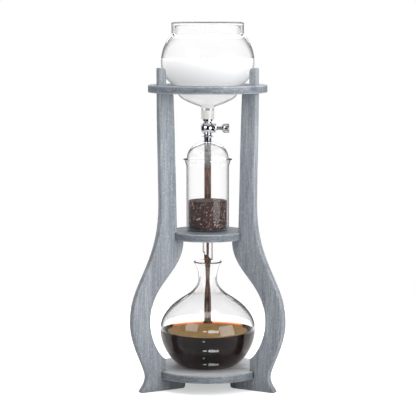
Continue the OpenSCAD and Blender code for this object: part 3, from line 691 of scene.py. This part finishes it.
# %% [markdown]
# The measuring marks are white enamel, printed on the glass and fired. The numbers are set as
# text, made a mesh, stood upright in front of the flask, and pressed onto the glass with a
# shrinkwrap. A solidify then gives the print its thickness.

# %% Print the measuring marks
enamel, tree, output, place = new_material("fired_enamel")
# The print's unevenness is drawn 1.1 mm wide. The real one is finer and wouldn't show.
print_dots = noise(tree, place, 900.0)
paint = add(tree, "ShaderNodeBsdfPrincipled",
            {"Base Color": ramp(tree, print_dots, [(0.3, "#e9e9e7"), (0.7, "#fbfbfa")]),
             "Roughness": 0.35})
tree.links.new(paint.outputs[0], output.inputs["Surface"])

TEXT_HIGH, TEXT_LEFT, TICK_LEFT, TICK_HIGH = 3.6 * MM, 0.6 * MM, -5.6 * MM, 0.8 * MM
FIGURE_SHARE = 0.7          # a figure's height as a share of the font's size
LONG_TICK, SHORT_TICK = 4.2, 1.4
in_front = AXIS.y - 70 * MM
marks = []
for label, z in (("600ml", 79.0), ("400ml", 54.4), ("200ml", 34.9)):
    bpy.ops.object.text_add(location=(0, 0, 0))
    words = bpy.context.object
    words.data.body = label
    words.data.size = TEXT_HIGH / FIGURE_SHARE
    bpy.ops.object.convert(target="MESH")
    words.rotation_euler = (math.radians(90), 0, 0)
    words.location = (TEXT_LEFT, in_front, z * MM - TEXT_HIGH / 2)
    marks.append(words)
for z, wide in ((79.0, LONG_TICK), (66.5, SHORT_TICK), (54.4, LONG_TICK),
                (44.2, SHORT_TICK), (34.9, LONG_TICK)):
    bpy.ops.mesh.primitive_grid_add(x_subdivisions=6, y_subdivisions=1, size=1,
                                    location=(TICK_LEFT + wide / 2 * MM, in_front, z * MM),
                                    rotation=(math.radians(90), 0, 0))
    tick = bpy.context.object
    tick.scale = (wide * MM, TICK_HIGH, 1)
    marks.append(tick)
bpy.ops.object.select_all(action="DESELECT")
for mark in marks:
    mark.select_set(True)
bpy.context.view_layer.objects.active = marks[0]
bpy.ops.object.join()
print_on = bpy.context.object
bpy.ops.object.transform_apply(location=True, rotation=True, scale=True)
press = print_on.modifiers.new("press", "SHRINKWRAP")
press.target = carafe
press.wrap_method = "PROJECT"
press.use_project_x, press.use_project_y, press.use_project_z = False, True, False
press.use_positive_direction, press.use_negative_direction = True, False
press.offset = 0.12 * MM
bpy.ops.object.modifier_apply(modifier=press.name)
coat = print_on.modifiers.new("coat", "SOLIDIFY")
coat.thickness = 0.1 * MM
bpy.ops.object.modifier_apply(modifier=coat.name)
finish_piece(print_on, "carafe_marks", "carafe", [enamel])

# %% [markdown]
# The boards are birch plywood, sawn, with rounded edges, stained blue-grey and rubbed back.
# The grain runs up the legs and across the shelves. Fibres are drawn 1.6 mm apart, wider than
# real ones, because finer ones don't show at this size. Wide soft bands sit under them. Short
# dark pores and short pale flecks, where the stain was rubbed off, lie along the grain. The
# rounded edges have the same grain in a paler tone, partly rubbed wear and partly a painted
# highlight. Towards the floor every finish is darker, which is painted shade.

# %% Stained wood
FIBRE, BAND = (1.6, 34.0), (9.0, 120.0)     # width and length in mm
PORE, FLECK = (1.1, 6.0), (1.0, 2.6)
FLOOR_SHADE_HEIGHT = 0.4


def stained_wood(name, along, light, middle, dark, fleck):
    """Wood with its grain along one axis: along is the index of that axis."""
    material, tree, output, place = new_material(name)

    def grain(across_mm, length_mm, detail):
        scale = [1000.0 / across_mm] * 3
        scale[along] = 1000.0 / length_mm
        stretched = add(tree, "ShaderNodeMapping", {"Vector": place, "Scale": scale})
        return noise(tree, stretched.outputs[0], 1.0, detail)

    fibres, bands = grain(*FIBRE, 3.0), grain(*BAND, 1.0)
    pores, rubbed = grain(*PORE, 1.0), grain(*FLECK, 1.0)
    mixed = add(tree, "ShaderNodeMix", {"Factor": 0.6, "A": bands, "B": fibres},
                data_type="FLOAT")
    tone = ramp(tree, mixed.outputs["Result"], [(0.3, dark), (0.5, middle), (0.68, light)])
    pits = remap(tree, pores, 0.32, 0.44, 0.8, 1.0)
    colour = add(tree, "ShaderNodeMix", {"Factor": 1.0, "A": tone, "B": pits},
                 data_type="RGBA", blend_type="MULTIPLY")
    spots = remap(tree, rubbed, 0.56, 0.68, 0.0, 0.42)
    colour = add(tree, "ShaderNodeMix", {"Factor": spots, "A": colour.outputs["Result"],
                                         "B": linear(fleck)}, data_type="RGBA")
    # Painted shade: every wood finish is darkened towards the floor, over the lowest 0.4 m.
    up = add(tree, "ShaderNodeSeparateXYZ", {0: place})
    height = remap(tree, up.outputs["Z"], 0.0, FLOOR_SHADE_HEIGHT)
    low = ramp(tree, height, [(0.0, "#cecece"), (0.14, "#e4e4e4"), (0.5, "#eeeeee"),
                              (0.72, "#ffffff")])
    colour = add(tree, "ShaderNodeMix", {"Factor": 1.0, "A": colour.outputs["Result"],
                                         "B": low}, data_type="RGBA", blend_type="MULTIPLY")
    matt = remap(tree, fibres, 0.0, 1.0, 0.5, 0.68)
    relief = add(tree, "ShaderNodeBump", {"Height": fibres, "Strength": 0.35,
                                          "Distance": 0.0004})
    wood = add(tree, "ShaderNodeBsdfPrincipled",
               {"Base Color": colour.outputs["Result"], "Roughness": matt,
                "Specular IOR Level": 0.4, "Normal": relief.outputs[0]})
    tree.links.new(wood.outputs[0], output.inputs["Surface"])
    return material


leg_wood = stained_wood("stained_plywood_upright", 2, "#acb2b9", "#8f969f", "#70777f", "#c9cdd2")
# The paler edge finishes are partly rubbed wear and partly a painted highlight along the rounded
# edges.
leg_edge_wear_and_highlight = stained_wood("rubbed_and_highlit_edge_upright", 2, "#b7bbc0", "#969ca3", "#767c84", "#cccfd3")
shelf_wood = stained_wood("stained_plywood_flat", 0, "#979ea7", "#777f88", "#5c646e", "#b9bec4")
shelf_edge_wear_and_highlight = stained_wood("rubbed_and_highlit_edge_flat", 0, "#c4c8cc", "#a0a6ad", "#7d838c", "#dcdee0")
# Painted light: the base shelf's top is made much paler to lift the shade under the carafe.
base_top_painted_light = stained_wood("painted_light_plywood_top", 0, "#f2f3f4", "#dde0e4", "#c0c4ca", "#f6f7f7")
print("wood finishes:", [w.name for w in (leg_wood, leg_edge_wear_and_highlight, shelf_wood, shelf_edge_wear_and_highlight, base_top_painted_light)])

# %% [markdown]
# The narrow face of the rear leg that looks towards the glass was stained another colour. Seen
# through the brew chamber and the flask it is a mottled dark brown, and it turns grey above
# the chamber's mouth. It is a material of its own, used on that face alone.

# %% Brown stain for the rear leg's inner face
brown_stain, tree, output, place = new_material("brown_stained_edge")
STAIN_END, GREY_FROM = 0.272, 0.288
# The mottling is 2.4 mm wide and 11 mm long.
stretched = add(tree, "ShaderNodeMapping", {"Vector": place, "Scale": (420.0, 420.0, 90.0)})
coarse = noise(tree, stretched.outputs[0], 1.0, 3.0)
brown = ramp(tree, coarse, [(0.3, "#2a1813"), (0.5, "#5c3f35"), (0.72, "#96745f")])
grey = ramp(tree, coarse, [(0.3, "#5d5f63"), (0.5, "#8c8e91"), (0.72, "#bdbec0")])
up = add(tree, "ShaderNodeSeparateXYZ", {0: place})
fade = remap(tree, up.outputs["Z"], STAIN_END, GREY_FROM)
colour = add(tree, "ShaderNodeMix", {"Factor": fade, "A": brown, "B": grey}, data_type="RGBA")
relief = add(tree, "ShaderNodeBump", {"Height": coarse, "Strength": 0.4, "Distance": 0.0004})
stain = add(tree, "ShaderNodeBsdfPrincipled",
            {"Base Color": colour.outputs["Result"], "Roughness": 0.6,
             "Specular IOR Level": 0.35, "Normal": relief.outputs[0]})
tree.links.new(stain.outputs[0], output.inputs["Surface"])
print(brown_stain.name, "turns grey at", STAIN_END, "to", GREY_FROM, "m")

# %% [markdown]
# The boards keep the CAD shapes, so a copy of each is cleaned up: its loose triangles are
# merged, and the flat ones are joined into whole faces. The long edges of a leg are then
# rounded by 1.6 mm with a bevel. The bevel's own faces get the paler edge finish, partly
# rubbed wear and partly a painted highlight.

# %% Copy, clean and round the boards
MERGE, LEVEL_ANGLE = 1e-5, 0.4              # in metres and degrees


def board_copy(node):
    """A merged copy of a CAD part with whole flat faces."""
    board = nodes[node].copy()
    board.data = nodes[node].data.copy()
    for key in list(board.keys()):
        del board[key]
    board.parent = None
    scene.collection.objects.link(board)
    bpy.ops.object.select_all(action="DESELECT")
    board.select_set(True)
    bpy.context.view_layer.objects.active = board
    bpy.ops.object.mode_set(mode="EDIT")
    bpy.ops.mesh.select_all(action="SELECT")
    bpy.ops.mesh.remove_doubles(threshold=MERGE)
    bpy.ops.mesh.dissolve_limited(angle_limit=math.radians(LEVEL_ANGLE))
    bpy.ops.object.mode_set(mode="OBJECT")
    for polygon in board.data.polygons:
        polygon.material_index = 0
    return board


def round_long_edges(board, is_broad, width):
    """Bevels each edge between a broad face and a narrow one, with the second material."""
    mesh = board.data
    faces_of = {}
    for polygon in mesh.polygons:
        for key in polygon.edge_keys:
            faces_of.setdefault(key, []).append(is_broad(polygon.normal))
    weights = mesh.attributes.new("bevel_weight_edge", "FLOAT", "EDGE")
    chosen = 0
    for edge in mesh.edges:
        if sorted(faces_of[edge.key]) == [False, True]:
            weights.data[edge.index].value = 1.0
            chosen += 1
    bevel = board.modifiers.new("rounding", "BEVEL")
    bevel.limit_method = "WEIGHT"
    bevel.width = width
    bevel.segments = 4
    # The bevel's faces take the paler edge finish: partly rubbed wear, partly a painted
    # highlight.
    bevel.material = 1
    bevel.use_clamp_overlap = False
    bpy.ops.object.modifier_apply(modifier=bevel.name)
    print("rounded edges:", chosen)


LEG_ROUNDING, BROAD, INWARD = 1.6 * MM, 0.95, -0.25
for leg_name, leg_angle in (("leg_left", 210), ("leg_right", 330), ("leg_rear", 90)):
    leg = board_copy(leg_name)
    leg.data.materials.clear()
    leg.data.materials.append(leg_wood)
    leg.data.materials.append(leg_edge_wear_and_highlight)
    across = Vector((-math.sin(math.radians(leg_angle)), math.cos(math.radians(leg_angle)), 0))
    round_long_edges(leg, lambda normal: abs(normal.dot(across)) > BROAD, LEG_ROUNDING)
    if leg_name == "leg_rear":
        leg.data.materials.append(brown_stain)
        for polygon in leg.data.polygons:
            if polygon.normal.y < INWARD:
                polygon.material_index = 2
    finish_piece(leg, leg_name + "_board", "frame", [], [leg_name], 40)

# %% [markdown]
# The shelves are turned boards whose edges are already rounded in the CAD model. The faces
# of that rounding are picked out by their slope and get the paler edge finish, partly rubbed
# wear and partly a painted highlight. The base shelf's top, where the carafe stands, is painted
# paler still: painted light that lifts the shade it lies in under the carafe and the middle
# shelf.

# %% Finish the shelves
UPRIGHT, FLAT = 0.15, 0.98
for shelf_name in ("top_shelf", "middle_shelf", "base_shelf"):
    shelf = board_copy(shelf_name)
    shelf.data.materials.clear()
    shelf.data.materials.append(shelf_wood)
    shelf.data.materials.append(shelf_edge_wear_and_highlight)
    worn_and_highlit = 0
    for polygon in shelf.data.polygons:
        if UPRIGHT < abs(polygon.normal.z) < FLAT:
            polygon.material_index = 1
            worn_and_highlit += 1
    # The base shelf's top gets the much paler finish, painted light over its shade.
    if shelf_name == "base_shelf":
        shelf.data.materials.append(base_top_painted_light)
        for polygon in shelf.data.polygons:
            if polygon.normal.z > FLAT:
                polygon.material_index = 2
    print(shelf_name, "worn faces:", worn_and_highlit)
    finish_piece(shelf, shelf_name + "_board", "frame", [], [shelf_name], 40)

# %% [markdown]
# The valve, its nuts and its nozzle are turned brass with bright chrome plate. Chrome is
# almost a mirror. Faint smudges in its gloss keep it from looking like a computer's mirror.
# The parts keep their CAD shapes, cleaned up in the same way as the boards.

# %% Chrome plate
chrome, tree, output, place = new_material("chromed_brass")
# The smudges are about 4.5 mm wide, with finer ones in them.
smudge = noise(tree, place, 220.0, 3.0)
polish = remap(tree, smudge, 0.0, 1.0, 0.02, 0.07)
plate = add(tree, "ShaderNodeBsdfPrincipled",
            {"Base Color": ramp(tree, smudge, [(0.3, "#bfc1c4"), (0.7, "#d0d2d5")]),
             "Metallic": 1.0, "Roughness": polish})
tree.links.new(plate.outputs[0], output.inputs["Surface"])
for node in ("inlet_tube", "valve_body", "packing_nut", "spindle", "adjusting_knob",
             "drip_nozzle"):
    piece = board_copy(node)
    finish_piece(piece, node + "_chrome", nodes[node]["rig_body"], [chrome], [node], 30)

# %% [markdown]
# A silicone stopper fills the globe's neck and holds the valve's tube. Pressed against the
# glass, it touches it with no air between, so it is drawn 0.15 mm into the glass, as the water
# is. Its two edges are rounded as moulded rubber's are. Silicone is milky and a little matt.

# %% Turn the neck stopper
silicone, tree, output, place = new_material("moulded_silicone")
# Cloudy spots in the silicone are about 5.5 mm wide.
bloom = noise(tree, place, 180.0)
rubber = add(tree, "ShaderNodeBsdfPrincipled",
             {"Base Color": ramp(tree, bloom, [(0.3, "#f8f7f4"), (0.7, "#fffffc")]),
              "Roughness": 0.4, "IOR": 1.42})
tree.links.new(rubber.outputs[0], output.inputs["Surface"])
STOPPER_R, STOPPER_H, TUBE_R, PRESS = 5.9, 11.0, 3.0, 0.15
stopper_outline = ([Vector((TUBE_R, 0)), Vector((STOPPER_R - 0.6, 0))]
                   + arc((STOPPER_R + PRESS - 0.5, 0.5), 0.5, -80, 0, 4)
                   + arc((STOPPER_R + PRESS - 0.5, STOPPER_H - 0.5), 0.5, 0, 80, 4)
                   + [Vector((STOPPER_R - 0.6, STOPPER_H)), Vector((TUBE_R, STOPPER_H)),
                      Vector((TUBE_R, 0))])
stopper = turned(stopper_outline, neck_end, 64)
finish_piece(stopper, "neck_stopper_moulded", "globe", [silicone], ["neck_stopper"])

# %% [markdown]
# Small parts that hardly show, or not at all, keep their CAD shapes. Each still gets the
# finish of what it is made of.

# %% Finishes of the small parts
steel, tree, output, place = new_material("stainless_steel")
# Brush lines are 0.4 mm apart and 3.3 mm long, coarser than real ones, so that they show.
lines = add(tree, "ShaderNodeMapping", {"Vector": place, "Scale": (300.0, 2500.0, 2500.0)})
matt = remap(tree, noise(tree, lines.outputs[0], 1.0), 0.0, 1.0, 0.22, 0.42)
sheet = add(tree, "ShaderNodeBsdfPrincipled",
            {"Base Color": linear("#b4b6b9"), "Metallic": 1.0, "Roughness": matt})
tree.links.new(sheet.outputs[0], output.inputs["Surface"])

nitrile, tree, output, place = new_material("nitrile_rubber")
# Dust on the rubber is drawn 1.1 mm wide, coarser than the real one, so that it shows.
dust = noise(tree, place, 900.0)
ring = add(tree, "ShaderNodeBsdfPrincipled",
           {"Base Color": ramp(tree, dust, [(0.3, "#161616"), (0.8, "#2a2a2a")]),
            "Roughness": 0.6})
tree.links.new(ring.outputs[0], output.inputs["Surface"])

beech = stained_wood("plain_beech", 0, "#d9bd94", "#c9a87b", "#b08d60", "#e2cba6")
for node, material in (("filter_gasket", silicone),
                       ("filter_disc", steel), ("needle", steel), ("spindle_o_ring", nitrile),
                       ("shelf_dowels", beech)):
    nodes[node].data.materials.clear()
    nodes[node].data.materials.append(material)
    print(node, "keeps its CAD shape in", material.name)

# %% [markdown]
# Ground coffee is a heap of dark crumbs with a few paler ones. Real crumbs are a little under
# a millimetre. They are drawn 1.2 mm across, because finer ones don't show at this size. Each
# crumb is a cell of a Voronoi pattern with its own shade. The same cells push the surface in
# and out, so the crumbs catch the light.

# %% Ground coffee
grounds, tree, output, place = new_material("ground_coffee")
crumbs = add(tree, "ShaderNodeTexVoronoi", {"Vector": place, "Scale": 820.0})
shade = add(tree, "ShaderNodeSeparateColor", {0: crumbs.outputs["Color"]})
# Clumps of crumbs are about 4 mm wide.
clumps = noise(tree, place, 260.0)
mix = add(tree, "ShaderNodeMix", {"Factor": 0.15, "A": shade.outputs[0], "B": clumps},
          data_type="FLOAT")
tone = ramp(tree, mix.outputs["Result"], [(0.25, "#090302"), (0.66, "#34120b"),
                                          (0.84, "#5c2b20"), (0.93, "#e0b8a2")])
bumps = add(tree, "ShaderNodeBump", {"Height": crumbs.outputs["Distance"], "Strength": 0.4,
                                     "Distance": 0.0008}, invert=True)
dry = add(tree, "ShaderNodeBsdfPrincipled", {"Base Color": tone, "Roughness": 0.75,
                                             "Normal": bumps.outputs[0]})
tree.links.new(dry.outputs[0], output.inputs["Surface"])
GROUNDS_TOP, HEAP_GAP = 38.3, 0.05
heap = [Vector((0, BREW_WALL + HEAP_GAP))]
heap += [p + Vector((-0.06, HEAP_GAP)) for p in brew_inside
         if p.x > 18 and BREW_WALL - 0.01 < p.y < GROUNDS_TOP]
edge = heap[-1].x
heap += [Vector((edge, z)) for z in (28, 34, 37.2)]
heap += [Vector((edge - 0.5, 38.0)), Vector((edge - 1.5, GROUNDS_TOP))]
heap += [Vector((r, GROUNDS_TOP)) for r in (20, 16, 12, 8, 4, 0)]
bed = turned(heap, brew_floor, 96)
finish_piece(bed, "ground_coffee_bed", "brewer", [grounds], ["coffee_grounds"],
             60)
